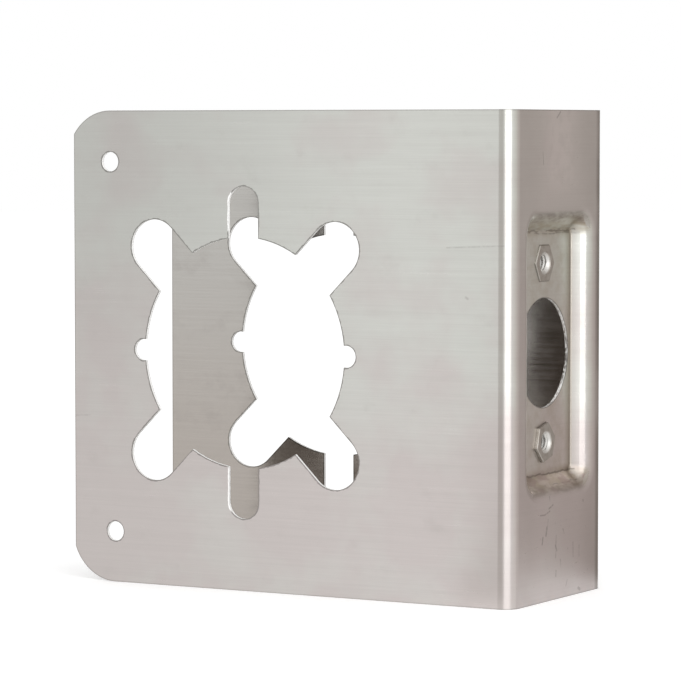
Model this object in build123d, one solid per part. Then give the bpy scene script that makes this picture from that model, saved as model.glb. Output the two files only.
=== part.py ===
from build123d import *

import os
from math import cos, radians, tan

# Wrap-around door plate: one folded stainless sheet with two pressed-in threaded nuts.
#
# The sheet wraps the edge of a door. Two legs lie on the door's faces and are joined by
# an edge panel, which has a drawn pocket for the faceplate of a latch. The back leg
# closes in slightly towards its free end, so that the plate grips the door.
#
# Frame, in mm: the origin is the centre of the latch bore on the outer face of the
# pocket's floor. +X points out of the door's edge, +Y goes from the front leg to the
# back leg, and +Z is up.

# Folded sheet
SHEET = 0.79                # 22 gauge
CLEAR_WIDTH = 47.0          # between the legs at the edge panel
LEG_CLOSE_ANGLE = 1.62      # lean of the back leg towards the front leg
HEIGHT = 114.3
LEG_LENGTH = 119.4          # outer face of the edge panel to the free edge
BEND_INNER_RADIUS = 2.85

# Drawn pocket for the latch faceplate, on its outer surface
POCKET_DEPTH = 4.4
POCKET_OFFSET = 0.6         # its axis from the panel's middle, towards the back leg
POCKET_RISE = 0.4           # its axis above the plate's mid-height
FLOOR_WIDTH = 28.2
FLOOR_HEIGHT = 57.4
FLOOR_CORNER_RADIUS = 1.5
MOUTH_CORNER_RADIUS = 5.0
SIDE_WALL_ANGLE = 23.0      # lean of the long walls away from the pocket's axis
END_WALL_ANGLE = 40.0       # lean of the upper and lower walls
LIP_RADIUS = 3.8            # rolled lip, outer surface
FLOOR_FOLD_RADIUS = 0.5     # fold round the floor, outer surface
LATCH_BORE_RADIUS = 12.9

# Lock cut-out, the same in both legs
CUTOUT_SETBACK = 71.45      # its centre, from the outer face of the edge panel
FRONT_CUTOUT_DROP = 0.4     # its centre below the plate's mid-height
BACK_CUTOUT_DROP = 0.8
CUTOUT_RADIUS = 27.5
LOBE_RADIUS = 6.55
LOBE_REACH = 35.2           # centre of a lobe's round end, from the cut-out's centre
LOBE_ANGLE = 45.0
SLOT_RADIUS = 4.1
SLOT_REACH = 35.45          # centre of a slot's round end, from the cut-out's centre
NOTCH_RADIUS = 2.6
NOTCH_REACH = 27.95

# Screw holes at the free edge; each corner is rounded about its own hole
SCREW_HOLE_RADIUS = 2.38
SCREW_EDGE_INSET = 12.35    # from the upper or lower edge, and the corner's radius
UPPER_SCREW_INSET = 10.4    # from the free edge
LOWER_SCREW_INSET = 11.6

# Threaded nuts, pressed through hexagonal holes from inside the pocket's floor
NUT_SPREAD = 21.0           # above and below the latch bore
NUT_ACROSS_FLATS = 8.4
NUT_CORNER_RADIUS = 0.35
NUT_COLLAR_RADIUS = 5.5
NUT_COLLAR_THICKNESS = 3.0
NUT_EDGE_BREAK = 0.3
THREAD_MINOR_RADIUS = 1.75  # 8-32 thread
MOUTH_RADIUS = 2.8
UPPER_NUT_STAND = 0.35      # how far the hexagon stands out of the floor
LOWER_NUT_STAND = 0.8
UPPER_NUT_TURN = 0.0
LOWER_NUT_TURN = 14.5

# Places that follow from the sizes above
EDGE_FACE = POCKET_DEPTH
FREE_EDGE = EDGE_FACE - LEG_LENGTH
FRONT_FACE = -POCKET_OFFSET - CLEAR_WIDTH / 2 - SHEET
BACK_FACE = -POCKET_OFFSET + CLEAR_WIDTH / 2 + SHEET
MID_HEIGHT = -POCKET_RISE
CUTOUT_X = EDGE_FACE - CUTOUT_SETBACK
SCREW_LEVEL = HEIGHT / 2 - SCREW_EDGE_INSET     # above and below mid-height
BEND_OUTER_RADIUS = BEND_INNER_RADIUS + SHEET
OVERRUN = 10.0              # how far a cutting solid runs past the sheet

# Sketches drawn in the door's edge face: local X is the part's Y, local Y its Z
EDGE_PLANE = Plane(origin=(0, 0, 0), x_dir=(0, 1, 0), z_dir=(1, 0, 0))
# Sketches drawn on the legs: local X is the part's X, local Y its Z, facing the front
LEG_PLANE = Plane(origin=(0, 0, 0), x_dir=(1, 0, 0), z_dir=(0, -1, 0))


def prism(plane, sketch, start, end):
    """Extrude a sketch along the plane's normal, between two heights over the plane."""
    return extrude(plane.offset(start) * sketch, amount=end - start)


def folded_sheet():
    """The two legs and the edge panel with their bends, before anything is cut."""
    lean = radians(LEG_CLOSE_ANGLE)

    def outline(skin, radius, end):
        near, far = EDGE_FACE - skin, FREE_EDGE - end
        front = FRONT_FACE + skin

        def back(x):
            return BACK_FACE - (EDGE_FACE - x) * tan(lean) - skin / cos(lean)

        shape = Polygon((far, front), (near, front), (near, back(near)), (far, back(far)),
                        align=None)
        return fillet(shape.vertices().group_by(Axis.X)[-1], radius)

    profile = outline(0, BEND_OUTER_RADIUS, 0) - outline(SHEET, BEND_INNER_RADIUS, OVERRUN)
    return prism(Plane.XY, profile, MID_HEIGHT - HEIGHT / 2, MID_HEIGHT + HEIGHT / 2)


def pocket_size(skin, height):
    """Width, height and corner radius of the pocket, grown by a skin, at one height."""
    side, end = radians(SIDE_WALL_ANGLE), radians(END_WALL_ANGLE)
    corner = FLOOR_CORNER_RADIUS + (MOUTH_CORNER_RADIUS - FLOOR_CORNER_RADIUS) * height / EDGE_FACE
    return (FLOOR_WIDTH + 2 * (height * tan(side) + skin / cos(side)),
            FLOOR_HEIGHT + 2 * (height * tan(end) + skin / cos(end)),
            corner + skin)


def pocket_form(skin, top):
    """A tapered block with the pocket's shape, grown by a skin and closed at height top."""
    sections = [EDGE_PLANE.offset(height) * RectangleRounded(*pocket_size(skin, height))
                for height in (-skin, top)]
    block = loft(sections, ruled=True)
    floor_edges = block.edges().group_by(Axis.X)[0]
    return fillet(floor_edges, FLOOR_FOLD_RADIUS + skin)


def rim_edges(solid, height, reach=1.0):
    """Edges of the pocket's rim that lie at one height of the edge panel."""
    width, tall, _ = pocket_size(SHEET + reach, EDGE_FACE)
    return [edge for edge in solid.edges()
            if abs(edge.bounding_box().min.X - height) < 1e-3
            and abs(edge.bounding_box().max.X - height) < 1e-3
            and abs(edge.center().Y) < width / 2 and abs(edge.center().Z) < tall / 2]


def drawn_sheet():
    """The folded sheet with its pocket pressed in, at one thickness all round."""
    sheet = folded_sheet()
    inner_face = EDGE_FACE - SHEET
    sheet = sheet + pocket_form(SHEET, inner_face + SHEET / 2)
    sheet = fillet(rim_edges(sheet, inner_face), LIP_RADIUS - SHEET)
    sheet = sheet - pocket_form(0, EDGE_FACE)
    return fillet(rim_edges(sheet, EDGE_FACE), LIP_RADIUS)


def hexagon(turn):
    """Outline of a nut's pressed hexagon, with a point towards +Y when turn is zero."""
    shape = RegularPolygon(NUT_ACROSS_FLATS / 2, 6, major_radius=False, rotation=turn)
    return fillet(shape.vertices(), NUT_CORNER_RADIUS)


def lock_cutout():
    """Outline of the lock's cut-out about its own centre."""
    shape = Circle(CUTOUT_RADIUS)
    for quarter in range(4):
        angle = LOBE_ANGLE + 90 * quarter
        shape += Rot(0, 0, angle) * (Pos(LOBE_REACH / 2, 0) * Rectangle(LOBE_REACH, 2 * LOBE_RADIUS)
                                     + Pos(LOBE_REACH, 0) * Circle(LOBE_RADIUS))
    shape += SlotCenterToCenter(2 * SLOT_REACH, 2 * SLOT_RADIUS, rotation=90)
    for side in (-1, 1):
        shape += Pos(side * NOTCH_REACH, 0) * Circle(NOTCH_RADIUS)
    return shape


def corner_waste(side, inset):
    """The part of one corner that lies outside its round end, side being +1 at the top."""
    centre = Pos(FREE_EDGE + inset, MID_HEIGHT + side * SCREW_LEVEL)
    square = Pos(-OVERRUN, side * OVERRUN) * Rectangle(2 * OVERRUN, 2 * OVERRUN)
    return centre * (square - Circle(SCREW_EDGE_INSET))


def leg_cuts(drop):
    """Everything that is cut from one leg."""
    cuts = Pos(CUTOUT_X, MID_HEIGHT - drop) * lock_cutout()
    for side, inset in ((1, UPPER_SCREW_INSET), (-1, LOWER_SCREW_INSET)):
        hole = Pos(FREE_EDGE + inset, MID_HEIGHT + side * SCREW_LEVEL)
        cuts += hole * Circle(SCREW_HOLE_RADIUS)
        cuts += corner_waste(side, inset)
    return cuts


def wrap_plate():
    """The finished sheet."""
    sheet = drawn_sheet()
    sheet = sheet - prism(LEG_PLANE, leg_cuts(FRONT_CUTOUT_DROP), 0, OVERRUN - FRONT_FACE)
    sheet = sheet - prism(LEG_PLANE, leg_cuts(BACK_CUTOUT_DROP), -BACK_FACE - OVERRUN, 0)

    floor_cuts = Circle(LATCH_BORE_RADIUS)
    floor_cuts += Pos(0, NUT_SPREAD) * hexagon(UPPER_NUT_TURN)
    floor_cuts += Pos(0, -NUT_SPREAD) * hexagon(LOWER_NUT_TURN)
    return sheet - prism(EDGE_PLANE, floor_cuts, -2 * SHEET, SHEET)


def thread_bore(back, front):
    """The nut's threaded hole, with a wide mouth in front and a broken edge behind."""
    mouth = MOUTH_RADIUS - THREAD_MINOR_RADIUS
    profile = Polyline((back, 0), (back, THREAD_MINOR_RADIUS + NUT_EDGE_BREAK),
                       (back + NUT_EDGE_BREAK, THREAD_MINOR_RADIUS),
                       (front - mouth, THREAD_MINOR_RADIUS), (front, MOUTH_RADIUS),
                       (front, 0), close=True)
    return revolve(make_face(profile), Axis.X)


def latch_nut(height, stand, turn):
    """One pressed-in nut: a hexagon through the floor and a round collar behind it."""
    back = -SHEET - NUT_COLLAR_THICKNESS
    shank = prism(EDGE_PLANE, hexagon(turn), -SHEET, stand)
    shank = chamfer(shank.edges().group_by(Axis.X)[-1], NUT_EDGE_BREAK / 2)
    collar = prism(EDGE_PLANE, Circle(NUT_COLLAR_RADIUS), back, -SHEET)
    collar = chamfer(collar.edges().group_by(Axis.X)[0], NUT_EDGE_BREAK)
    return Pos(0, 0, height) * (shank + collar - thread_bore(back, stand))


parts = {
    "wrap_plate": wrap_plate(),
    "upper_latch_nut": latch_nut(NUT_SPREAD, UPPER_NUT_STAND, UPPER_NUT_TURN),
    "lower_latch_nut": latch_nut(-NUT_SPREAD, LOWER_NUT_STAND, LOWER_NUT_TURN),
}

os.makedirs("parts", exist_ok=True)
for name, solid in parts.items():
    export_step(solid, f"parts/{name}.step")
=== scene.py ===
"""Looks of the wrap-around door plate: its brushed sheet, its two threaded nuts and a studio.

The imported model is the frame. Every object is in metres and in the part's own frame:
the origin is the centre of the latch bore, +X points out of the door's edge, +Y goes
from the front leg to the back leg, and +Z is up.
"""

from math import cos, pi, radians, sin, tan
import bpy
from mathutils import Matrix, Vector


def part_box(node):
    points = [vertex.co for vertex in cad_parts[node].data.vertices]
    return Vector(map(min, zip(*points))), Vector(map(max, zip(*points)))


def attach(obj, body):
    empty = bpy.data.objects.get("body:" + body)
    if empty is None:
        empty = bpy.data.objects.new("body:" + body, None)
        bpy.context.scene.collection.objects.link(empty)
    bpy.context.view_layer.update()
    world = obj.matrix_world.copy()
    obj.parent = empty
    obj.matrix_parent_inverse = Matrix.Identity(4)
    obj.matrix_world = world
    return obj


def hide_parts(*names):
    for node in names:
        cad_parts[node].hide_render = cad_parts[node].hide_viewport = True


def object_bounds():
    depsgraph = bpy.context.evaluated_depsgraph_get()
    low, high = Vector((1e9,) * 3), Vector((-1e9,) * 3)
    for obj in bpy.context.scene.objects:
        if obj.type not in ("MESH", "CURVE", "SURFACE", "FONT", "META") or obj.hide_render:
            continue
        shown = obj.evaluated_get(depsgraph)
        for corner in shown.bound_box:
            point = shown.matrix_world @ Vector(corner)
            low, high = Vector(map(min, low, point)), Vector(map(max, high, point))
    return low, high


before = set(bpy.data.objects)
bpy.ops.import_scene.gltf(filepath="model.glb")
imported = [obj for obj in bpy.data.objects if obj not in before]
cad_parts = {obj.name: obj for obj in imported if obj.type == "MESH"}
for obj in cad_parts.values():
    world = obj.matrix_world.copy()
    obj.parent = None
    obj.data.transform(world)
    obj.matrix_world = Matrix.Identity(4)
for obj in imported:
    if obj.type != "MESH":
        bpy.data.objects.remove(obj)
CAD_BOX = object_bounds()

from types import SimpleNamespace

import bmesh
import bpy
from bpy.props import FloatProperty, FloatVectorProperty, PointerProperty
from bpy.types import NodeSocket, Operator, Panel, PropertyGroup
from mathutils import Matrix, Vector

bl_info = {
    "name": "Wrap-around Door Plate",
    "version": (1, 0, 0),
    "blender": (4, 5, 0),
    "location": "View3D > Sidebar > Door Plate",
    "description": "Finishes a folded door plate, its threaded nuts and a studio round it",
    "category": "Object",
}

MM = 0.001

# Sizes of the folded sheet in mm, in the part's frame
SHEET = 0.79
FRONT_FACE = CAD_BOX[0].y / MM
BACK_FACE = 23.69                   # of the back leg, carried on to the edge panel's face
LEG_CLOSE = tan(radians(1.62))      # how fast the back leg leans in
FREE_EDGE = CAD_BOX[0].x / MM
EDGE_FACE = CAD_BOX[1].x / MM
TOP, BOTTOM = CAD_BOX[1].z / MM, CAD_BOX[0].z / MM
BEND_RADIUS = 3.64
LATCH_BORE_RADIUS = 12.9
POCKET_HALF_WIDTH = 18.5            # out to the end of the rolled lip
POCKET_HALF_HEIGHT = 34.2
FLOOR_HALF_WIDTH = 14.1
FLOOR_HALF_HEIGHT = 28.7
SIDE_WALL_LEAN, END_WALL_LEAN = radians(23), radians(40)
LIP_RADIUS = 3.8
FLOOR_CORNER, MOUTH_CORNER = 1.5, 5.0

# The lock's cut-out about its own centre
CUTOUT_X = -67.05
CUTOUT_LEVELS = (-0.8, -1.2)        # of the centre, on the front leg and on the back leg
CUTOUT_RADIUS = 27.5
LOBE_REACH, LOBE_RADIUS = 35.2, 6.55
SLOT_REACH, SLOT_RADIUS = 35.45, 4.1
NOTCH_REACH, NOTCH_RADIUS = 27.95, 2.6

# Centre of each screw hole on a leg and its side, up or down
SCREW_HOLES = ((-104.6, 44.4, 1), (-103.4, -45.2, -1))
SCREW_HOLE_RADIUS = 2.38
CORNER_RADIUS = 12.35

# Level and turn of each nut's hexagon
NUT_HEXAGONS = ((21.0, 0.0), (-21.0, radians(14.5)))
NUT_ACROSS_FLATS = 8.4


class Shading:
    """The node tree of one material, built by short calls."""

    def __init__(self, tree):
        self.tree = tree
        self.tree.nodes.clear()

    def node(self, kind, **settings):
        """Add a node and set its properties."""
        made = self.tree.nodes.new(kind)
        for name, value in settings.items():
            setattr(made, name, value)
        return made

    def feed(self, socket, value):
        """Link a socket to another's output, or set its own value."""
        if isinstance(value, NodeSocket):
            self.tree.links.new(value, socket)
        elif hasattr(socket.default_value, "__len__") and len(socket.default_value) == 4:
            socket.default_value = (*value[:3], 1.0)
        else:
            socket.default_value = value

    def math(self, operation, *values, clamp=False):
        """Result of one operation on numbers."""
        made = self.node("ShaderNodeMath", operation=operation, use_clamp=clamp)
        for socket, value in zip(made.inputs, values):
            self.feed(socket, value)
        return made.outputs[0]

    def vector(self, operation, *values):
        """Result of one operation on vectors, a number for a length or a product."""
        made = self.node("ShaderNodeVectorMath", operation=operation)
        for socket, value in zip(made.inputs, values):
            self.feed(socket, value)
        return made.outputs["Value" if operation in ("LENGTH", "DISTANCE", "DOT_PRODUCT") else 0]

    def ramp(self, value, low, high, start=0.0, end=1.0):
        """Go smoothly from start to end while value goes from low to high."""
        made = self.node("ShaderNodeMapRange", interpolation_type="SMOOTHSTEP")
        for name, given in (("Value", value), ("From Min", low), ("From Max", high),
                            ("To Min", start), ("To Max", end)):
            self.feed(made.inputs[name], given)
        return made.outputs["Result"]

    def band(self, value, low, high, soft):
        """One between low and high, with soft ends."""
        return self.math("MULTIPLY", self.ramp(value, low - soft, low + soft),
                         self.ramp(value, high - soft, high + soft, 1.0, 0.0))

    def chain(self, operation, values):
        """Take several values together by one operation, two at a time."""
        result = values[0]
        for value in values[1:]:
            result = self.math(operation, result, value)
        return result

    def all_of(self, *masks):
        """Product of several masks."""
        return self.chain("MULTIPLY", masks)

    def any_of(self, *masks):
        """Strongest of several masks."""
        return self.chain("MAXIMUM", masks)

    def off(self, mask):
        """One where a mask is zero, and zero where it is one."""
        return self.math("SUBTRACT", 1.0, mask)

    def least(self, *values):
        """Smallest of several values."""
        return self.chain("MINIMUM", values)

    def most(self, *values):
        """Largest of several values."""
        return self.chain("MAXIMUM", values)

    def choose(self, mask, first, second):
        """First value where the mask is zero, second where it is one."""
        return self.math("MULTIPLY_ADD", mask, self.math("SUBTRACT", second, first), first)

    def mix(self, factor, first, second):
        """First colour where the factor is zero, second where it is one."""
        made = self.node("ShaderNodeMix", data_type="RGBA", clamp_factor=True)
        self.feed(made.inputs[0], factor)
        self.feed(made.inputs[6], first)
        self.feed(made.inputs[7], second)
        return made.outputs[2]

    def place(self, stretch=(1.0, 1.0, 1.0), turn=(0.0, 0.0, 0.0), shift=(0.0, 0.0, 0.0)):
        """The piece's own coordinates in mm, stretched, turned and shifted."""
        coordinates = self.node("ShaderNodeTexCoord").outputs["Object"]
        made = self.node("ShaderNodeMapping")
        self.feed(made.inputs["Vector"], coordinates)
        self.feed(made.inputs["Location"], shift)
        self.feed(made.inputs["Rotation"], turn)
        self.feed(made.inputs["Scale"], tuple(axis / MM for axis in stretch))
        return made.outputs["Vector"]

    def noise(self, features, detail, roughness, **place):
        """Noise from 0 to 1 about 0.5, with so many features per mm along each axis."""
        made = self.node("ShaderNodeTexNoise")
        for name, given in (("Vector", self.place(features, **place)), ("Scale", 1.0),
                            ("Detail", detail), ("Roughness", roughness)):
            self.feed(made.inputs[name], given)
        return made.outputs[0]

    def split(self, place):
        """The three coordinates of a place."""
        made = self.node("ShaderNodeSeparateXYZ")
        self.feed(made.inputs[0], place)
        return made.outputs[0], made.outputs[1], made.outputs[2]

    def join(self, x, y, z):
        """A place from its three coordinates."""
        made = self.node("ShaderNodeCombineXYZ")
        for socket, value in zip(made.inputs, (x, y, z)):
            self.feed(socket, value)
        return made.outputs[0]


def new_material(name):
    """An empty material and its node tree."""
    material = bpy.data.materials.new(name)
    material.use_nodes = True
    return material, Shading(material.node_tree)


def metal(s, color, roughness, height, bump_distance, metallic=1.0, anisotropic=0.0, tangent=None):
    """Finish a tree with a metal surface, its bump and its output."""
    surface = s.node("ShaderNodeBsdfPrincipled")
    s.feed(surface.inputs["Base Color"], color)
    s.feed(surface.inputs["Roughness"], roughness)
    s.feed(surface.inputs["Metallic"], metallic)
    surface.inputs["Anisotropic"].default_value = anisotropic
    if tangent is not None:
        s.feed(surface.inputs["Tangent"], tangent)
    bump = s.node("ShaderNodeBump")
    bump.inputs["Strength"].default_value = 1.0
    bump.inputs["Distance"].default_value = bump_distance * MM
    s.feed(bump.inputs["Height"], height)
    s.feed(surface.inputs["Normal"], bump.outputs["Normal"])
    output = s.node("ShaderNodeOutputMaterial")
    s.feed(output.inputs["Surface"], surface.outputs[0])


# Distances on the sheet, in mm


def round_distance(s, across, up, radius):
    """Distance outside a circle about the origin."""
    return s.math("SUBTRACT", s.vector("LENGTH", s.join(across, up, 0.0)), radius)


def cutout_distance(s, x, z, level):
    """Distance from the outline of the lock's cut-out, on the sheet's side of it."""
    across = s.math("ABSOLUTE", s.math("SUBTRACT", x, CUTOUT_X))
    up = s.math("ABSOLUTE", s.math("SUBTRACT", z, level))
    lobe_along = s.math("MULTIPLY", s.math("ADD", across, up), sin(pi / 4))
    lobe_aside = s.math("MULTIPLY", s.math("SUBTRACT", across, up), sin(pi / 4))
    past_lobe = s.math("MAXIMUM", s.math("SUBTRACT", lobe_along, LOBE_REACH), 0.0)
    past_slot = s.math("MAXIMUM", s.math("SUBTRACT", up, SLOT_REACH), 0.0)
    return s.least(round_distance(s, across, up, CUTOUT_RADIUS),
                   round_distance(s, lobe_aside, past_lobe, LOBE_RADIUS),
                   round_distance(s, across, past_slot, SLOT_RADIUS),
                   round_distance(s, s.math("SUBTRACT", across, NOTCH_REACH), up, NOTCH_RADIUS))


def end_distance(s, z):
    """Distance from the nearer of the sheet's upper and lower edges."""
    return s.least(s.math("SUBTRACT", TOP, z), s.math("SUBTRACT", z, BOTTOM))


def outline_distances(s, x, z):
    """Distance from the screw holes, and from the rounded corners and straight outer edges."""
    holes = []
    edges = [s.math("SUBTRACT", x, FREE_EDGE), end_distance(s, z)]
    for hole_x, hole_z, side in SCREW_HOLES:
        across = s.math("SUBTRACT", x, hole_x)
        up = s.math("SUBTRACT", z, hole_z)
        holes.append(round_distance(s, across, up, SCREW_HOLE_RADIUS))
        past_hole = s.math("MAXIMUM", s.math("MULTIPLY", up, side), 0.0)
        corner = s.vector("LENGTH", s.join(s.math("MINIMUM", across, 0.0), past_hole, 0.0))
        edges.append(s.math("SUBTRACT", CORNER_RADIUS, corner))
    return s.least(*holes), s.least(*edges)


def hexagon_distance(s, y, z, level, turn):
    """Distance outside the hexagon of one nut."""
    up = s.math("SUBTRACT", z, level)
    reaches = []
    for side in range(3):
        angle = turn + radians(30 + 60 * side)
        reach = s.math("ADD", s.math("MULTIPLY", y, cos(angle)), s.math("MULTIPLY", up, sin(angle)))
        reaches.append(s.math("ABSOLUTE", reach))
    return s.math("SUBTRACT", s.most(*reaches), NUT_ACROSS_FLATS / 2)


def pocket_wall_depth(s, x, out, half, lean):
    """Depth under the outer skin of one pair of the pocket's walls and of their rolled lip."""
    lip_x = EDGE_FACE - LIP_RADIUS
    lip_out = half + (LIP_RADIUS + lip_x * sin(lean)) / cos(lean)
    from_half = s.math("MULTIPLY", s.math("SUBTRACT", out, half), cos(lean))
    wall = s.math("MULTIPLY_ADD", x, -sin(lean), from_half)
    from_lip_centre = s.join(s.math("SUBTRACT", out, lip_out), s.math("SUBTRACT", x, lip_x), 0.0)
    lip = s.math("SUBTRACT", LIP_RADIUS, s.vector("LENGTH", from_lip_centre))
    past_lip = s.math("GREATER_THAN", out, lip_out)
    on_wall = s.math("LESS_THAN", x, lip_x + LIP_RADIUS * sin(lean))
    lip = s.choose(past_lip, lip, s.math("SUBTRACT", EDGE_FACE, x))
    return s.choose(on_wall, lip, wall)


def pocket_depth(s, x, across, up):
    """Depth under the pocket's outer skin, with its round corners."""
    corner = s.math("MULTIPLY_ADD", x, (MOUTH_CORNER - FLOOR_CORNER) / EDGE_FACE, FLOOR_CORNER)
    past_corner = []
    for out, half, lean in ((across, FLOOR_HALF_WIDTH, SIDE_WALL_LEAN),
                            (up, FLOOR_HALF_HEIGHT, END_WALL_LEAN)):
        wall = s.math("ADD", pocket_wall_depth(s, x, out, half, lean), corner)
        past_corner.append(s.math("MAXIMUM", wall, 0.0))
    away = s.vector("LENGTH", s.join(*past_corner, 0.0))
    walls = s.least(s.math("SUBTRACT", away, corner), s.math("SUBTRACT", EDGE_FACE, x))
    return s.most(walls, s.math("MULTIPLY", x, -1.0))


# The sheet

# Scratches and rub marks in mm: from y, z to y, z on the edge panel, and half their width
PANEL_MARKS = (
    (-5.3, -33.0, -5.3, -34.1, 0.10), (-5.8, -35.9, -3.7, -35.2, 0.14),
    (-10.4, -37.1, -8.0, -37.2, 0.10), (-8.0, -37.2, -5.3, -36.5, 0.12),
    (-6.2, -38.4, -6.6, -40.3, 0.10), (-6.8, -40.2, -7.3, -42.0, 0.30),
    (-8.9, -42.4, -9.3, -43.9, 0.22), (-2.0, -42.6, -2.1, -44.6, 0.14),
    (-2.3, -44.9, -1.7, -46.0, 0.28), (-2.1, -46.2, -2.2, -47.7, 0.12),
    (1.6, -41.3, 2.2, -42.4, 0.10), (0.4, -48.4, 0.5, -50.2, 0.09),
    (-2.0, -50.8, -2.1, -52.1, 0.16), (7.0, -45.0, 7.1, -48.4, 0.09),
    (10.3, -46.0, 10.3, -48.6, 0.08), (10.0, -56.2, 10.7, -56.5, 0.35),
    (12.3, -35.4, 12.5, -35.8, 0.16), (-2.3, 54.9, -0.4, 56.3, 0.12),
    (-9.6, 47.0, -9.2, 44.1, 0.06), (4.0, -53.5, 3.2, -55.0, 0.07),
)
# The same on the front leg, from x, z to x, z
LEG_MARKS = (
    (-12.5, 25.1, 2.0, 25.7, 0.09), (-7.6, 13.8, -7.0, 13.4, 0.20),
    (-114.8, -17.4, -110.7, -17.2, 0.07),
)

# Limits of the sheet's masks in mm
SKIN = 0.05                         # of the thickness, left out of the cut walls on both sides
LEG_MARGIN = 0.1                    # past the legs' thickness
OUTER_MARGIN = 0.2                  # under the edge panel's face
POCKET_MARGIN = 0.6                 # past the pocket's lip
FLOOR_LEVELS = (-0.06, 0.4)         # of x, about the pocket's floor
SLOT_HIGHLIGHT_LEVELS = (28.2, 38.6)     # of the painted highlight on a slot's rolled side, up and down
BUMP_DEPTH = 0.004                  # of the sheet's grain

# Colours that are laid over the sheet's own
# Of these, painted shade and painted reflection: the shade towards the free edges, the edge panel's
# tint, the foot of the pocket's side walls, the back bend, the end walls' lip and the pocket's folds
SHADE = (0.30, 0.295, 0.28)
STREAK = (0.40, 0.38, 0.36)
SMUDGE = (0.36, 0.33, 0.31)
PANEL_PAINTED_REFLECTION = (0.62, 0.555, 0.56)
PANEL_WORN = (0.86, 0.81, 0.80)
INNER_SMUDGE = (0.33, 0.30, 0.28)
INNER_STREAK = (0.36, 0.33, 0.30)
WALL_FOOT_PAINTED_SHADE = (0.36, 0.33, 0.30)
BACK_BEND_PAINTED_SHADE = (0.25, 0.23, 0.21)
FLUSH = (0.34, 0.255, 0.24)
LIP_PAINTED_SHADE = (0.235, 0.20, 0.20)
FOLD_PAINTED_SHADE = (0.12, 0.10, 0.085)
FLECK = (0.20, 0.17, 0.16)
SCRATCH = (0.13, 0.11, 0.10)
BURNISH = (0.13, 0.12, 0.11)
SEAM = (0.11, 0.10, 0.09)


def sheet_regions(s):
    """Where a point of the sheet is, in mm, and a mask of every region of the sheet."""
    at = SimpleNamespace()
    at.x, at.y, at.z = s.split(s.place())
    at.across, at.up = s.math("ABSOLUTE", at.y), s.math("ABSOLUTE", at.z)

    # Depth under the outer skin of the legs, bends and edge panel
    at.front_depth = s.math("SUBTRACT", at.y, FRONT_FACE)
    back_skin = s.math("MULTIPLY_ADD", at.x, LEG_CLOSE, BACK_FACE - EDGE_FACE * LEG_CLOSE)
    leg_depth = s.math("MINIMUM", at.front_depth, s.math("SUBTRACT", back_skin, at.y))
    short_of = [s.math("MAXIMUM", s.math("SUBTRACT", BEND_RADIUS, under), 0.0)
                for under in (s.math("SUBTRACT", EDGE_FACE, at.x), leg_depth)]
    at.depth = s.math("SUBTRACT", BEND_RADIUS, s.vector("LENGTH", s.join(*short_of, 0.0)))

    at.back_half = s.math("GREATER_THAN", at.y, 0.0)
    at.leg = s.all_of(s.math("LESS_THAN", at.x, EDGE_FACE - BEND_RADIUS),
                      s.math("LESS_THAN", at.depth, SHEET + LEG_MARGIN))
    at.panel = s.off(at.leg)
    at.outer_panel = s.all_of(at.panel, s.math("GREATER_THAN", at.x, EDGE_FACE - OUTER_MARGIN))

    # The pocket, its outer skin, its floor and its two end walls
    at.pocket = s.all_of(at.panel, s.math("LESS_THAN", at.across, POCKET_HALF_WIDTH + POCKET_MARGIN),
                         s.math("LESS_THAN", at.up, POCKET_HALF_HEIGHT + POCKET_MARGIN))
    behind = s.math("GREATER_THAN", pocket_depth(s, at.x, at.across, at.up), SHEET / 2)
    at.drawn = s.all_of(at.pocket, s.off(behind))
    at.floor = s.all_of(at.drawn, s.band(at.x, *FLOOR_LEVELS, 0.03))
    at.ends = s.all_of(at.drawn, s.ramp(at.x, EDGE_FACE - 0.05, EDGE_FACE - 1.1),
                       s.ramp(at.up, FLOOR_HALF_HEIGHT - 2.5, FLOOR_HALF_HEIGHT + 1.0))

    at.inner = s.any_of(s.all_of(s.off(at.pocket), s.math("GREATER_THAN", at.depth, SHEET - SKIN)),
                        s.all_of(at.pocket, behind))
    return at


def sheet_patterns(s):
    """Noises of the sheet. The brushed grain is long along the legs and round the bends."""
    hair = s.noise((0.05, 0.05, 7.0), 3.0, 0.7)
    grain = s.noise((0.02, 0.02, 1.6), 2.0, 0.6)
    return SimpleNamespace(
        hair=hair, grain=grain,
        streak=s.math("ADD", s.math("MULTIPLY", hair, 0.65), s.math("MULTIPLY", grain, 0.35)),
        mottle=s.noise((0.045, 0.05, 0.05), 3.0, 0.55),
        blotch=s.noise((0.3, 0.3, 0.33), 3.0, 0.6, shift=(7.0, 3.0, 1.0)),
        smudge=s.noise((0.12, 0.12, 0.16), 4.0, 0.62, turn=(0.0, 0.5, 0.0), shift=(3.0, 5.0, 2.0)),
        drag=s.noise((0.12, 0.2, 0.75), 3.0, 0.6, shift=(2.0, 1.0, 4.0)))


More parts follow.
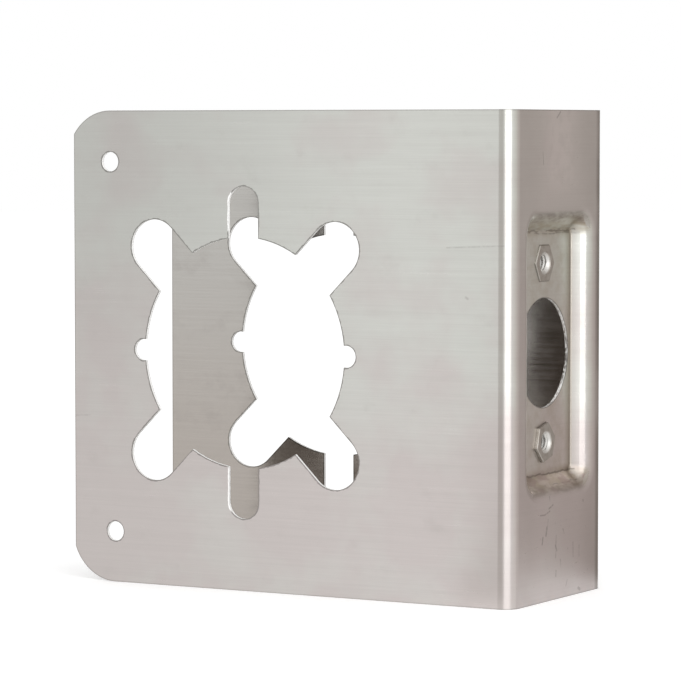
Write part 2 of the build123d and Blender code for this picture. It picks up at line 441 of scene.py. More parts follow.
def cut_masks(s, at):
    """What the cuts leave: pale walls, dark burnished edges, and dark seams in the floor, with a
    painted highlight on one side of the front leg's slots.
    """
    level = s.choose(at.back_half, *CUTOUT_LEVELS)
    from_hole, from_outline = outline_distances(s, at.x, at.z)
    from_cut = s.least(cutout_distance(s, at.x, at.z, level), from_hole)
    from_bore = round_distance(s, at.y, at.z, LATCH_BORE_RADIUS)

    # Sheared walls of the legs' cuts, of the latch bore and of the upper and lower edges
    chatter = s.ramp(s.noise((2.0, 1.2, 1.2), 2.0, 0.6), 0.38, 0.62, 0.15, 0.8)
    bore_wall = s.all_of(at.pocket, s.band(from_bore, -0.2, 0.04, 0.02),
                         s.band(at.x, SKIN - SHEET, -SKIN, 0.02), chatter)
    leg_walls = s.all_of(at.leg, s.band(at.depth, SKIN, SHEET - SKIN, 0.02))
    sheared = s.any_of(leg_walls, bore_wall, s.math("GREATER_THAN", at.z, TOP - 0.01),
                       s.math("LESS_THAN", at.z, BOTTOM + 0.01))

    # Edges of the legs, dark but for one side of the front leg's slots, where a painted highlight
    # stands for a rolled edge catching light
    edge_width = s.ramp(s.noise((0.9, 0.9, 0.9), 2.0, 0.6), 0.3, 0.7, 0.16, 0.36)
    along_cuts = s.ramp(s.math("DIVIDE", from_cut, edge_width), 0.75, 1.15, 1.0, 0.0)
    leg_edges = s.all_of(at.leg, s.any_of(along_cuts, s.ramp(from_outline, 0.14, 0.3, 0.6, 0.0)))
    # Painted highlight: pale colour on one side of each of the front leg's slots
    slot_painted_highlight = s.all_of(s.math("LESS_THAN", at.x, CUTOUT_X - 0.8 * SLOT_RADIUS),
                         s.band(at.up, *SLOT_HIGHLIGHT_LEVELS, 0.5),
                         s.math("GREATER_THAN", at.x, CUTOUT_X - SLOT_RADIUS - 0.4),
                         s.math("LESS_THAN", at.front_depth, SHEET / 2))
    panel_ends = s.all_of(at.panel, s.ramp(end_distance(s, at.z), 0.1, 0.3, 0.75, 0.0))

    hexagons = [s.band(hexagon_distance(s, at.y, at.z, *hexagon), -0.05, 0.16, 0.06)
                for hexagon in NUT_HEXAGONS]
    bore_edge = s.ramp(from_bore, 0.05, 0.25, 1.0, 0.0)
    return SimpleNamespace(
        pale=s.any_of(sheared, s.all_of(leg_edges, slot_painted_highlight)),
        burnished=s.any_of(s.all_of(leg_edges, s.off(slot_painted_highlight)), panel_ends),
        seams=s.all_of(at.floor, s.any_of(bore_edge, *hexagons)))


def capsule(s, across, up, mark):
    """Distance from one mark, drawn as a short line with round ends."""
    start, end, half_width = Vector(mark[:2]), Vector(mark[2:4]), mark[4]
    along = end - start
    away = s.join(s.math("SUBTRACT", across, start.x), s.math("SUBTRACT", up, start.y), 0.0)
    share = s.math("DIVIDE", s.vector("DOT_PRODUCT", away, (along.x, along.y, 0.0)),
                   along.length_squared, clamp=True)
    foot = s.node("ShaderNodeVectorMath", operation="SCALE")
    foot.inputs[0].default_value = (along.x, along.y, 0.0)
    s.feed(foot.inputs["Scale"], share)
    return s.math("SUBTRACT", s.vector("DISTANCE", away, foot.outputs[0]), half_width)


def worn_marks(s, across, up, marks):
    """One on any of the marks, and zero away from them."""
    nearest = s.least(*(capsule(s, across, up, mark) for mark in marks))
    rubbed = s.ramp(s.noise((1.3, 1.3, 1.3), 2.0, 0.6), 0.3, 0.6, 0.35, 1.0)
    return s.all_of(s.ramp(nearest, -0.08, 0.2, 1.0, 0.0), rubbed)


def scratches(s, at):
    """The marks of the edge panel and, fainter, those of the front leg."""
    return s.any_of(s.all_of(at.outer_panel, worn_marks(s, at.y, at.z, PANEL_MARKS)),
                    s.all_of(s.math("LESS_THAN", at.front_depth, 2.5), 0.55,
                             worn_marks(s, at.x, at.z, LEG_MARKS)))


def outer_color(s, finish, at, pattern):
    """The outer skin, cool and warm in random patches. Painted reflection makes it warmer lower down
    and towards the free edge, painted shade darkens it towards the free edge, and a painted reflection
    tints the edge panel.
    """
    # Painted reflection: warmer lower down and towards the free edge, mixed with random mottle
    lower = s.math("ADD", s.ramp(at.x, -80.0, -112.0, 0.0, 0.3), s.ramp(at.z, 30.0, -42.0, 0.0, 0.95))
    lower = s.math("ADD", lower, s.ramp(pattern.mottle, 0.3, 0.7, -0.35, 0.5), clamp=True)
    color = s.mix(lower, finish.sheet_cool, finish.sheet_warm)
    # Painted shade: the legs darker towards their free edges, less so low down
    left = s.all_of(s.ramp(at.x, -115.0, -10.0, finish.left_shade, 0.0),
                    s.ramp(at.z, 45.0, -50.0, 1.0, 0.3))
    color = s.mix(left, color, SHADE)
    color = s.mix(s.ramp(pattern.streak, 0.32, 0.68, 0.0, finish.grain), color, STREAK)
    color = s.mix(s.ramp(pattern.smudge, 0.55, 0.8, 0.0, 0.14), color, SMUDGE)
    # Painted reflection: the edge panel tinted pinkish brown
    color = s.mix(s.math("MULTIPLY", at.outer_panel, 0.4), color, PANEL_PAINTED_REFLECTION)
    worn = s.all_of(at.outer_panel, s.ramp(at.across, 12.0, 2.0), s.ramp(at.z, 34.0, 42.0),
                    s.ramp(pattern.blotch, 0.3, 0.6, 0.4, 1.0))
    return s.mix(s.math("MULTIPLY", worn, 0.4), color, PANEL_WORN)


def inner_color(s, finish, at, pattern):
    """The unpolished inner skin, with painted shade that makes it browner and darker low down."""
    # Painted shade: browner and darker low down
    color = s.mix(s.ramp(at.z, 35.0, -40.0), finish.inner_color, finish.inner_low_painted_shade)
    color = s.mix(s.ramp(pattern.smudge, 0.5, 0.75, 0.0, 0.25), color, INNER_SMUDGE)
    return s.mix(s.ramp(pattern.streak, 0.3, 0.7, 0.0, 0.25), color, INNER_STREAK)


def stain_and_painted_shade_coats(s, finish, at, pattern):
    """Drawing compound in the pocket, painted shade at the foot of the side walls and on the back bend,
    and the edge panel darker towards the bottom, as mask, strength and colour.
    """
    ends = s.math("MULTIPLY", at.ends, s.ramp(pattern.drag, 0.35, 0.65, 0.4, 0.9))
    floor = s.all_of(at.floor, s.any_of(s.ramp(pattern.blotch, 0.35, 0.72, 0.1, 0.6),
                                        s.ramp(at.y, 9.5, 13.5, 0.0, 0.9)))
    # Painted shade in the crease at the foot of the pocket's side walls
    painted_wall_foot_shade = s.all_of(at.drawn, s.ramp(at.x, 2.4, 0.4),
                         s.math("GREATER_THAN", at.x, FLOOR_LEVELS[0]), s.ramp(at.across, 13.7, 14.0))
    # Painted shade and painted reflection: the back bend darkened, and the edge panel a little darker
    # towards its sides
    film = s.all_of(at.panel, s.off(at.inner), s.ramp(pattern.mottle, 0.25, 0.6, 0.45, 1.0),
                    s.any_of(s.ramp(at.y, 17.9, 20.2), s.ramp(at.across, 8.0, 17.0, 0.0, 0.16)))
    low_panel = s.all_of(at.outer_panel, s.ramp(at.z, -22.0, -52.0))
    return [(ends, 1.0, finish.stain_color), (floor, 0.6, finish.stain_color),
            (painted_wall_foot_shade, 0.5, WALL_FOOT_PAINTED_SHADE), (film, 0.9, BACK_BEND_PAINTED_SHADE), (low_panel, 0.22, SMUDGE)]


def pocket_tint_and_painted_shade_coats(s, at, pattern):
    """Reddish patches on the lower end wall, painted shade on the end walls' lip and painted shade
    along the folds, as mask, strength and colour.
    """
    patchy = s.noise((0.25, 0.16, 0.3), 2.0, 0.5)
    flush = s.all_of(at.ends, s.ramp(at.z, 0.0, -20.0), s.ramp(patchy, 0.48, 0.62))
    # Painted shade on the end walls' lip, strongest on the upper wall
    painted_lip_shade = s.all_of(at.drawn, s.ramp(at.x, EDGE_FACE - 0.02, EDGE_FACE - 0.45),
                    s.ramp(at.x, 1.6, 3.2), s.ramp(at.up, 29.0, 31.0),
                    s.ramp(pattern.drag, 0.36, 0.62, 0.15, 1.0), s.ramp(at.z, -25.0, 25.0, 0.6, 1.0))
    # Painted shade along the folds where the floor meets the end walls
    uneven_up = s.math("ADD", at.up, s.ramp(pattern.blotch, 0.3, 0.7, -0.25, 0.25))
    painted_fold_shade = s.all_of(at.drawn, s.math("LESS_THAN", at.x, 1.2),
                         s.ramp(pattern.drag, 0.35, 0.5, 0.25, 1.0),
                         s.band(uneven_up, 28.3, 28.7, 0.15))
    lower_line = s.band(s.math("ADD", at.z, s.math("MULTIPLY", pattern.drag, 3.0)), -29.6, -29.3, 0.15)
    upper_line = s.band(s.math("ADD", at.z, s.math("MULTIPLY", pattern.mottle, 5.0)), 29.6, 29.9, 0.15)
    painted_crease_lines = s.all_of(at.drawn, s.math("LESS_THAN", at.x, 2.6),
                          s.ramp(pattern.blotch, 0.35, 0.6), s.any_of(lower_line, upper_line))
    return [(flush, 0.6, FLUSH), (painted_lip_shade, 0.55, LIP_PAINTED_SHADE),
            (s.any_of(painted_fold_shade, painted_crease_lines), 0.6, FOLD_PAINTED_SHADE)]


def wear_coats(s, finish, at, cuts, marks):
    """Flecks, scratches, cut edges and the painted highlight on the slots, as mask, strength and
    colour.
    """
    speckle = s.ramp(s.noise((1.1, 1.1, 0.55), 3.0, 0.7), 0.66, 0.74)
    flecks = s.all_of(at.outer_panel, speckle, s.ramp(at.z, -30.0, -42.0))
    return [(flecks, 0.3, FLECK), (marks, 0.42, SCRATCH),
            (cuts.burnished, finish.edge_darkness, BURNISH), (cuts.seams, 0.6, SEAM),
            (cuts.pale, 0.97, finish.sheared_color)]


def sheet_roughness(s, finish, at, pattern, marks):
    """Streaky, smoother inside and duller on the marks and on the pocket's end walls."""
    dull = s.math("SUBTRACT", s.any_of(at.ends, marks), s.math("MULTIPLY", at.inner, 2.2))
    patches = s.math("MULTIPLY_ADD", dull, 0.05, s.ramp(pattern.blotch, 0.3, 0.8, -0.01, 0.03))
    streaks = s.ramp(pattern.streak, 0.25, 0.75, finish.roughness - 0.04, finish.roughness + 0.05)
    return s.math("ADD", streaks, patches)


def sheet_height(s, at, pattern, marks):
    """Grain and marks in units of BUMP_DEPTH. On the back leg's inner skin a steady rise makes
    up for the leg's lean, so that it mirrors light as the front leg does."""
    hair = s.math("MULTIPLY", pattern.hair, s.math("MULTIPLY_ADD", at.inner, -0.1, 0.6))
    height = s.math("ADD", hair, s.math("MULTIPLY", pattern.grain, 0.4))
    height = s.math("SUBTRACT", height, s.math("MULTIPLY", marks, 1.5))
    rise = s.math("MULTIPLY", at.x, LEG_CLOSE / BUMP_DEPTH)
    return s.math("ADD", height, s.all_of(at.inner, at.back_half, at.leg, rise))


def sheet_material(finish):
    """Brushed stainless: duller inside, stained in the drawn pocket, with painted shade and painted
    reflection on the legs, the edge panel, the back bend and the pocket's lip and folds, pale sheared
    walls, a painted highlight on the slots and dark burnished edges."""
    material, s = new_material("brushed_sheet")
    at = sheet_regions(s)
    pattern = sheet_patterns(s)
    marks = scratches(s, at)
    cuts = cut_masks(s, at)

    color = s.mix(at.inner, outer_color(s, finish, at, pattern), inner_color(s, finish, at, pattern))
    coats = (stain_and_painted_shade_coats(s, finish, at, pattern) + pocket_tint_and_painted_shade_coats(s, at, pattern)
             + wear_coats(s, finish, at, cuts, marks))
    for mask, strength, paint in coats:
        color = s.mix(s.math("MULTIPLY", mask, strength), color, paint)

    metallic = s.off(s.math("MULTIPLY", cuts.pale, 0.95))
    metal(s, color, sheet_roughness(s, finish, at, pattern, marks),
          sheet_height(s, at, pattern, marks), BUMP_DEPTH, metallic=metallic, anisotropic=0.8,
          tangent=s.join(0.05, 0.03, 1.0))
    return material


class SheetFinish(PropertyGroup):
    """Colours and grain of the folded sheet."""

    sheet_warm: FloatVectorProperty(
        name="Warm patches", description="Colour of the sheet where it is pinkish",
        subtype="COLOR", min=0.0, max=1.0, default=(0.630, 0.578, 0.562))
    sheet_cool: FloatVectorProperty(
        name="Cool patches", description="Colour of the sheet where it is greenish",
        subtype="COLOR", min=0.0, max=1.0, default=(0.670, 0.678, 0.640))
    inner_color: FloatVectorProperty(
        name="Inner skin", description="Colour of the unpolished inner faces, high up",
        subtype="COLOR", min=0.0, max=1.0, default=(0.51, 0.50, 0.475))
    # Painted shade: the inner faces' colour low down
    inner_low_painted_shade: FloatVectorProperty(
        name="Inner skin below", description="Colour of the unpolished inner faces, low down",
        subtype="COLOR", min=0.0, max=1.0, default=(0.46, 0.42, 0.385))
    # Also the colour of the painted highlight on one side of the front leg's slots
    sheared_color: FloatVectorProperty(
        name="Sheared walls", description="Colour of the cut walls of the sheet",
        subtype="COLOR", min=0.0, max=1.0, default=(0.97, 0.965, 0.95))
    stain_color: FloatVectorProperty(
        name="Pocket stain", description="Brownish film left in the drawn pocket",
        subtype="COLOR", min=0.0, max=1.0, default=(0.42, 0.365, 0.28))
    edge_darkness: FloatProperty(
        name="Edge darkness", description="Strength of the dark line along the cut edges",
        subtype="FACTOR", min=0.0, max=1.0, default=0.65)
    # Painted shade: how far the legs are darkened towards their free edges
    left_shade: FloatProperty(
        name="Shade to the free edge", subtype="FACTOR", min=0.0, max=1.0, default=0.38,
        description="How much duller the legs are towards their free edges")
    roughness: FloatProperty(
        name="Roughness", description="Mean roughness of the brushed skin",
        subtype="FACTOR", min=0.05, max=1.0, default=0.31)
    grain: FloatProperty(
        name="Grain", description="Strength of the brushed streaks in the colour",
        subtype="FACTOR", min=0.0, max=1.0, default=0.14)


class DOORPLATE_OT_finish_sheet(Operator):
    """Give the folded sheet its brushed finish"""

    bl_idname = "door_plate.finish_sheet"
    bl_label = "Finish Sheet"

    def execute(self, context):
        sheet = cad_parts["wrap_plate"]
        if not sheet.material_slots:
            raise ValueError("the folded sheet has no material slot to finish")
        material = sheet_material(context.scene.door_plate_sheet)
        for slot in sheet.material_slots:
            slot.material = material
        return {"FINISHED"}


# The nuts

# Each nut's name, the CAD node that it replaces and the turn of its hexagon
NUTS = (("upper_nut", "upper_latch_nut", NUT_HEXAGONS[0][1]),
        ("lower_nut", "lower_latch_nut", NUT_HEXAGONS[1][1]))
RING_POINTS = 48
CORNER_CUTS = 3                     # of each rounded corner of a hexagon
THREAD_STEPS = 48                   # in one turn
RING_SPREAD = 0.01                  # between rings while they are joined, in metres
SHARP_ANGLE = radians(28)

# Edges of a nut in mm
COLLAR_BREAK, HEXAGON_BREAK, BORE_BREAK = 0.3, 0.15, 0.25
THREAD_INSET = 0.45                 # of the thread's start from the back face
ROOT_SINK = 0.03                    # of the ridge's foot into the bore's wall

NUT_STAIN = (0.33, 0.30, 0.265)
# Fresh-tapped steel, and painted light that stands in for glints on the thread
NUT_BORE_PALE_AND_PAINTED_LIGHT = (0.66, 0.65, 0.63)
NUT_BORE_RADIUS = 2.6               # of the paler thread and mouth, in mm
NUT_BUMP_DEPTH = 0.01               # in mm


class NutSizes(PropertyGroup):
    """Sizes and colour of the two pressed-in nuts."""

    across_flats: FloatProperty(
        name="Across flats", description="Width of the pressed hexagon",
        subtype="DISTANCE", unit="LENGTH", default=NUT_ACROSS_FLATS * MM)
    corner_radius: FloatProperty(
        name="Corner radius", description="Rounding of the hexagon's six corners",
        subtype="DISTANCE", unit="LENGTH", default=0.35 * MM)
    thread_major: FloatProperty(
        name="Thread major radius", description="Radius at the thread's root",
        subtype="DISTANCE", unit="LENGTH", default=2.08 * MM)
    thread_minor: FloatProperty(
        name="Thread minor radius", description="Radius at the thread's crest",
        subtype="DISTANCE", unit="LENGTH", default=1.75 * MM)
    thread_pitch: FloatProperty(
        name="Thread pitch", description="Advance of the thread in one turn",
        subtype="DISTANCE", unit="LENGTH", default=0.794 * MM)
    mouth_radius: FloatProperty(
        name="Mouth radius", description="Radius of the countersunk mouth",
        subtype="DISTANCE", unit="LENGTH", default=2.8 * MM)
    color: FloatVectorProperty(
        name="Colour", description="Colour of the nuts' steel",
        subtype="COLOR", min=0.0, max=1.0, default=(0.43, 0.405, 0.375))


def stand_up(bm, ring, x, centre, turn):
    """Turn a flat ring to face +X and put it in place; return its edges."""
    bmesh.ops.rotate(bm, verts=ring, cent=(0, 0, 0), matrix=Matrix.Rotation(turn, 3, "Z"))
    bmesh.ops.rotate(bm, verts=ring, cent=(0, 0, 0), matrix=Matrix.Rotation(pi / 2, 3, "Y"))
    bmesh.ops.translate(bm, verts=ring, vec=Vector((x, 0, 0)) + centre)
    members = set(ring)
    return [e for e in bm.edges if e.verts[0] in members and e.verts[1] in members]


def circle_ring(bm, x, radius, centre):
    """A ring of edges about the nut's axis."""
    made = bmesh.ops.create_circle(bm, segments=RING_POINTS, radius=radius, cap_ends=False)
    return stand_up(bm, made["verts"], x, centre, 0.0)


def hexagon_ring(bm, x, across_flats, corner_radius, centre, turn):
    """A hexagonal ring with rounded corners and as many points as a round one."""
    made = bmesh.ops.create_circle(bm, segments=6, radius=across_flats / 2 / cos(pi / 6), cap_ends=True)
    face = made["verts"][0].link_faces[0]
    corner = corner_radius * tan(pi / 6)
    bmesh.ops.bevel(bm, geom=list(face.verts), affect="VERTICES", offset=corner,
                    offset_type="WIDTH", segments=CORNER_CUTS, profile=0.5, material=-1)
    face = max(bm.faces, key=lambda f: f.calc_area())
    flats = sorted(face.edges, key=lambda e: e.calc_length())[-6:]
    bmesh.ops.subdivide_edges(bm, edges=flats, cuts=RING_POINTS // 6 - CORNER_CUTS - 1)
    ring = list(face.verts)
    bmesh.ops.delete(bm, geom=[face], context="FACES_ONLY")
    return stand_up(bm, ring, x, centre, turn)


def nut_body(bm, sizes, back, front, collar_radius, centre, turn):
    """The closed body: bore, back face, collar, hexagon, front face and mouth."""
    seat = -SHEET * MM
    collar_break, hexagon_break, bore_break = COLLAR_BREAK * MM, HEXAGON_BREAK * MM, BORE_BREAK * MM
    flats, corner = sizes.across_flats, sizes.corner_radius
    depth = sizes.mouth_radius - sizes.thread_major
    rings = [
        circle_ring(bm, back + bore_break, sizes.thread_major, centre),
        circle_ring(bm, back, sizes.thread_major + bore_break, centre),
        circle_ring(bm, back, collar_radius - collar_break, centre),
        circle_ring(bm, back + collar_break, collar_radius, centre),
        circle_ring(bm, seat, collar_radius, centre),
        hexagon_ring(bm, seat, flats, corner, centre, turn),
        hexagon_ring(bm, front - hexagon_break, flats, corner, centre, turn),
        hexagon_ring(bm, front, flats - 2 * hexagon_break, corner, centre, turn),
        circle_ring(bm, front, sizes.mouth_radius, centre),
        circle_ring(bm, front - depth, sizes.thread_major, centre),
    ]
    # Rings in one plane would be joined crosswise, so each stands apart until all are joined
    spread = [(list({v for e in ring for v in e.verts}), number * RING_SPREAD)
              for number, ring in enumerate(rings)]
    for verts, away in spread:
        bmesh.ops.translate(bm, verts=verts, vec=(away, 0, 0))
    for ring, after in zip(rings, rings[1:] + rings[:1]):
        bmesh.ops.bridge_loops(bm, edges=ring + after)
    for verts, away in spread:
        bmesh.ops.translate(bm, verts=verts, vec=(-away, 0, 0))
    bmesh.ops.recalc_face_normals(bm, faces=bm.faces[:])


def thread_ridge(bm, sizes, back, front, centre):
    """A closed helical ridge in the bore, let into the wall at both ends."""
    start, end = back + THREAD_INSET * MM, front - (sizes.mouth_radius - sizes.thread_major)
    turns = (end - start) / sizes.thread_pitch
    root = sizes.thread_major + ROOT_SINK * MM
    foot, crest = 0.42 * sizes.thread_pitch, 0.08 * sizes.thread_pitch
    section = [bm.verts.new(Vector((start + along, 0, out)) + centre)
               for along, out in ((-foot, root), (foot, root), (crest, sizes.thread_minor),
                                  (-crest, sizes.thread_minor))]
    face = bm.faces.new(section)
    known = set(bm.verts) - set(section)
    steps = round(turns * THREAD_STEPS)
    bmesh.ops.spin(bm, geom=[face], cent=centre, axis=(1, 0, 0), angle=2 * pi * turns, steps=steps,
                   dvec=((end - start) / steps, 0, 0), use_merge=False, use_duplicate=False)
    ridge = [v for v in bm.verts if v not in known]
    for v in ridge:
        out = Vector((0, v.co.y - centre.y, v.co.z - centre.z))
        least = max(sizes.mouth_radius - (front - v.co.x),
                    sizes.thread_major + BORE_BREAK * MM - (v.co.x - back))
        if out.length < least:
            v.co += out * (least / out.length - 1)
    bmesh.ops.recalc_face_normals(bm, faces=list({f for v in ridge for f in v.link_faces}))


def nut_piece(name, node, turn, sizes, material):
    """One threaded nut in the place of its CAD node."""
    low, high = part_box(node)
    centre = Vector((0, 0, (low.z + high.z) / 2))
    bm = bmesh.new()
    nut_body(bm, sizes, low.x, high.x, (high.z - low.z) / 2, centre, turn)
    thread_ridge(bm, sizes, low.x, high.x, centre)
    mesh = bpy.data.meshes.new(name)
    bm.to_mesh(mesh)
    bm.free()
    mesh.shade_smooth()
    mesh.set_sharp_from_angle(angle=SHARP_ANGLE)
    mesh.materials.append(material)
    piece = bpy.data.objects.new(name, mesh)
    bpy.context.scene.collection.objects.link(piece)
    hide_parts(node)
    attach(piece, "root")


def nut_material(sizes):
    """Dull steel with darker patches and fine grain, paler in the bore as fresh-tapped steel and as
    painted light.
    """
    material, s = new_material("nut_steel")
    _, y, z = s.split(s.place())
    from_level = s.math("SUBTRACT", s.math("ABSOLUTE", z), NUT_HEXAGONS[0][0])
    in_bore = s.ramp(round_distance(s, y, from_level, NUT_BORE_RADIUS), -0.1, 0.1, 1.0, 0.0)
    stain = s.noise((0.6, 0.6, 0.6), 3.0, 0.6)
    fine = s.noise((6.0, 6.0, 6.0), 2.0, 0.6)
    color = s.mix(s.ramp(stain, 0.35, 0.7, 0.0, 0.8), sizes.color, NUT_STAIN)
    # Paler bore and mouth: fresh-tapped steel, and painted light standing in for glints on the thread
    color = s.mix(in_bore, color, NUT_BORE_PALE_AND_PAINTED_LIGHT)
    roughness = s.math("ADD", s.ramp(fine, 0.3, 0.7, 0.30, 0.44), s.math("MULTIPLY", in_bore, 0.06))
    metal(s, color, roughness, fine, NUT_BUMP_DEPTH)
    return material


class DOORPLATE_OT_build_nuts(Operator):
    """Build the two threaded nuts in the pocket's floor"""

    bl_idname = "door_plate.build_nuts"
    bl_label = "Build Nuts"

    def execute(self, context):
        sizes = context.scene.door_plate_nuts
        if sizes.thread_minor >= sizes.thread_major:
            raise ValueError("the thread's crest has to be inside its root")
        material = nut_material(sizes)
        for name, node, turn in NUTS:
            nut_piece(name, node, turn, sizes, material)
        return {"FINISHED"}


# The stage

# What the metal mirrors at each bearing round the part, from straight in front of the
# front leg towards the edge panel
WALL_TONES = (
    (-180, (0.62, 0.59, 0.56)),
    (-172, (0.60, 0.57, 0.54)),
    (-164, (0.09, 0.065, 0.05)),
    (-136, (0.06, 0.04, 0.03)),
    (-126, (0.44, 0.42, 0.40)),
    (-115, (0.52, 0.50, 0.48)),
    (-85, (0.90, 0.90, 0.89)),
    (-26, (1.0, 1.0, 1.0)),
    (-19, (0.72, 0.70, 0.68)),
    (7, (0.68, 0.66, 0.64)),
    (15, (1.0, 1.0, 1.0)),
    (70, (1.0, 1.0, 1.0)),
    (84, (1.0, 0.99, 0.97)),
    (100, (0.88, 0.85, 0.82)),
    (128, (0.71, 0.67, 0.63)),
    (150, (0.58, 0.53, 0.505)),
    (162, (0.44, 0.395, 0.365)),
    (172, (0.38, 0.34, 0.31)),
    (180, (0.62, 0.59, 0.56)),
)

# Sizes of the stage in metres
GROUND_START = 0.035                # from the part's middle, where the ground takes the wall's tones
GROUND_RISE = 0.0003                # of the ground over the floor
WALL_TOP = 0.75
FLOOR_RADIUS = 4.0
SOFTBOX_BEARING, SOFTBOX_DISTANCE = radians(44), 0.40
SOFTBOX_WIDTH, SOFTBOX_HEIGHT = 0.335, 0.55

FLOOR_WHITE = (0.88, 0.88, 0.88)
FLOOR_LIFT = 0.2                    # light that the floor adds where it is seen
SENSOR_WIDTH = 36.0                 # in mm


class StageSetup(PropertyGroup):
    """Camera, lamp and surroundings."""

    camera_place: FloatVectorProperty(
        name="Camera", description="Where the camera stands",
        subtype="TRANSLATION", unit="LENGTH", default=(0.372638, -0.752344, 0.051935))
    camera_azimuth: FloatProperty(
        name="Azimuth", description="Angle of the view from straight at the front leg",
        subtype="ANGLE", default=radians(29.596))
    camera_pitch: FloatProperty(
        name="Pitch", description="How far the camera looks down",
        subtype="ANGLE", default=radians(3.501))
    camera_lens: FloatProperty(
        name="Focal length", description="Focal length in mm on a 36 mm sensor", default=184.548)
    key_radiance: FloatProperty(
        name="Softbox", description="Brightness of the softbox over the white surroundings",
        min=0.0, default=1.6)
    wall_radius: FloatProperty(
        name="Studio wall radius", description="Distance of the curved wall that the metal mirrors",
        subtype="DISTANCE", unit="LENGTH", default=0.45)


def wall_material():
    """The curved wall's own light, by its bearing round the part."""
    material, s = new_material("studio_wall")
    x, y, _ = s.split(s.place())
    bearing = s.math("ARCTAN2", x, s.math("MULTIPLY", y, -1.0))
    ramp = s.node("ShaderNodeValToRGB")
    s.feed(ramp.inputs[0], s.math("MULTIPLY_ADD", bearing, 0.5 / pi, 0.5))
    stops = ramp.color_ramp.elements
    while len(stops) < len(WALL_TONES):
        stops.new(0.5)
    for stop, (angle, tone) in zip(stops, WALL_TONES):
        stop.position = angle / 360 + 0.5
        stop.color = (*tone, 1.0)
    glow = s.node("ShaderNodeEmission")
    s.feed(glow.inputs["Color"], ramp.outputs[0])
    output = s.node("ShaderNodeOutputMaterial")
    s.feed(output.inputs["Surface"], glow.outputs[0])
    return material


def floor_material():
    """White floor, as pale as the background and darker only in the part's shadow."""
    material, s = new_material("floor_white")
    diffuse = s.node("ShaderNodeBsdfDiffuse")
    s.feed(diffuse.inputs["Color"], FLOOR_WHITE)
    lift = s.node("ShaderNodeEmission")
    path = s.node("ShaderNodeLightPath")
    seen = s.any_of(path.outputs["Is Camera Ray"], path.outputs["Is Glossy Ray"],
                    path.outputs["Is Transmission Ray"])
    s.feed(lift.inputs["Strength"], s.math("MULTIPLY", seen, FLOOR_LIFT))
    both = s.node("ShaderNodeAddShader")
    s.feed(both.inputs[0], diffuse.outputs[0])
    s.feed(both.inputs[1], lift.outputs[0])
    output = s.node("ShaderNodeOutputMaterial")
    s.feed(output.inputs["Surface"], both.outputs[0])
    return material


def stage_object(name, bm, material):
    """A piece of the stage from its mesh and material."""
    mesh = bpy.data.meshes.new(name)
    bm.to_mesh(mesh)
    bm.free()
    mesh.materials.append(material)
    piece = bpy.data.objects.new(name, mesh)
    bpy.context.scene.collection.objects.link(piece)
    return piece


def build_floor():
    """A round floor under the part."""
    bm = bmesh.new()
    made = bmesh.ops.create_circle(bm, segments=64, radius=FLOOR_RADIUS, cap_ends=True)
    bmesh.ops.translate(bm, verts=made["verts"], vec=(0, 0, CAD_BOX[0].z))
    stage_object("floor", bm, floor_material())


def build_wall(radius):
    """A curved wall round the part with the ground in front of it, met only by mirrored light."""
    bm = bmesh.new()
    ground = CAD_BOX[0].z + GROUND_RISE
    points = [bm.verts.new((0, -out, level)) for out, level in
              ((GROUND_START, ground), (radius, ground), (radius, WALL_TOP))]
    edges = [bm.edges.new(pair) for pair in zip(points, points[1:])]
    bmesh.ops.spin(bm, geom=points + edges, cent=(0, 0, 0), axis=(0, 0, 1), angle=2 * pi,
                   steps=96, use_merge=True)
    wall = stage_object("studio_wall", bm, wall_material())
    wall.visible_camera = wall.visible_diffuse = wall.visible_shadow = False
    wall.visible_transmission = False


def build_softbox(radiance):
    """A tall softbox beside the camera, standing on the floor."""
    data = bpy.data.lights.new("softbox", "AREA")
    data.shape = "RECTANGLE"
    data.size, data.size_y = SOFTBOX_WIDTH, SOFTBOX_HEIGHT
    data.energy = radiance * pi * SOFTBOX_WIDTH * SOFTBOX_HEIGHT
    lamp = bpy.data.objects.new("softbox", data)
    lamp.location = (sin(SOFTBOX_BEARING) * SOFTBOX_DISTANCE, -cos(SOFTBOX_BEARING) * SOFTBOX_DISTANCE,
                     SOFTBOX_HEIGHT / 2 + CAD_BOX[0].z)
    aim = Vector((0, 0, lamp.location.z)) - lamp.location
    lamp.rotation_euler = aim.to_track_quat("-Z", "Y").to_euler()
    lamp.visible_camera = False
    bpy.context.scene.collection.objects.link(lamp)


def build_world():
    """White surroundings."""
    world = bpy.data.worlds.new("studio_white")
    world.use_nodes = True
    s = Shading(world.node_tree)
    background = s.node("ShaderNodeBackground")
    s.feed(background.inputs["Color"], (1.0, 1.0, 1.0))
    s.feed(background.inputs["Strength"], 1.0)
    output = s.node("ShaderNodeOutputWorld")
    s.feed(output.inputs["Surface"], background.outputs[0])
    bpy.context.scene.world = world


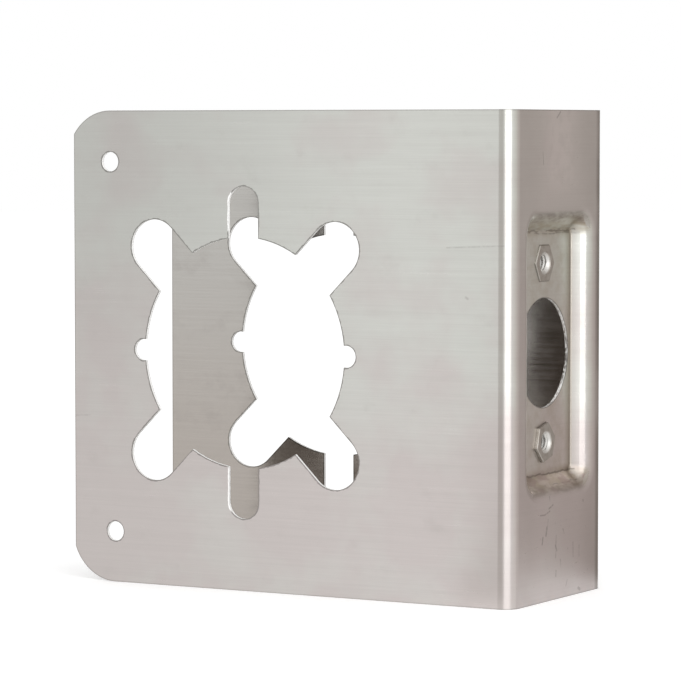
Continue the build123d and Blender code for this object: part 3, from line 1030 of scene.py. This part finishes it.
def build_camera(setup):
    """The camera that took the photograph, as fitted to the part's outlines."""
    data = bpy.data.cameras.new("camera")
    data.lens, data.sensor_width = setup.camera_lens, SENSOR_WIDTH
    data.clip_start, data.clip_end = 0.01, 20.0
    camera = bpy.data.objects.new("camera", data)
    azimuth, pitch = setup.camera_azimuth, setup.camera_pitch
    ahead = Vector((-sin(azimuth) * cos(pitch), cos(azimuth) * cos(pitch), -sin(pitch)))
    camera.location = setup.camera_place
    camera.rotation_euler = ahead.to_track_quat("-Z", "Y").to_euler()
    bpy.context.scene.collection.objects.link(camera)
    bpy.context.scene.camera = camera


class DOORPLATE_OT_set_stage(Operator):
    """Set up the floor, the curved wall, the softbox, the white world and the camera"""

    bl_idname = "door_plate.set_stage"
    bl_label = "Set Stage"

    def execute(self, context):
        setup = context.scene.door_plate_stage
        if setup.wall_radius <= GROUND_START:
            raise ValueError("the studio wall has to stand outside the start of its ground")
        build_floor()
        build_wall(setup.wall_radius)
        build_softbox(setup.key_radiance)
        build_world()
        build_camera(setup)
        context.scene.view_settings.view_transform = "Standard"
        return {"FINISHED"}


# Title of each step, the scene's property with its values, their group and its operator
STEPS = (
    ("Sheet", "door_plate_sheet", SheetFinish, DOORPLATE_OT_finish_sheet),
    ("Nuts", "door_plate_nuts", NutSizes, DOORPLATE_OT_build_nuts),
    ("Stage", "door_plate_stage", StageSetup, DOORPLATE_OT_set_stage),
)


class DOORPLATE_PT_sidebar(Panel):
    """Sizes, colours and steps of the door plate"""

    bl_label = "Door Plate"
    bl_space_type = "VIEW_3D"
    bl_region_type = "UI"
    bl_category = "Door Plate"

    def draw(self, context):
        for title, name, group, operator in STEPS:
            box = self.layout.box()
            box.label(text=title)
            for key in group.__annotations__:
                box.prop(getattr(context.scene, name), key)
            box.operator(operator.bl_idname)


CLASSES = (SheetFinish, NutSizes, StageSetup, DOORPLATE_OT_finish_sheet, DOORPLATE_OT_build_nuts,
           DOORPLATE_OT_set_stage, DOORPLATE_PT_sidebar)


def register():
    """Add the classes and each step's values to Blender."""
    for made in CLASSES:
        bpy.utils.register_class(made)
    for _, name, group, _ in STEPS:
        setattr(bpy.types.Scene, name, PointerProperty(type=group))


def unregister():
    """Take out what register() added."""
    for _, name, _, _ in STEPS:
        delattr(bpy.types.Scene, name)
    for made in reversed(CLASSES):
        bpy.utils.unregister_class(made)


def main():
    """Build everything."""
    register()
    bpy.ops.door_plate.finish_sheet()
    bpy.ops.door_plate.build_nuts()
    bpy.ops.door_plate.set_stage()


if __name__ == "__main__":
    main()
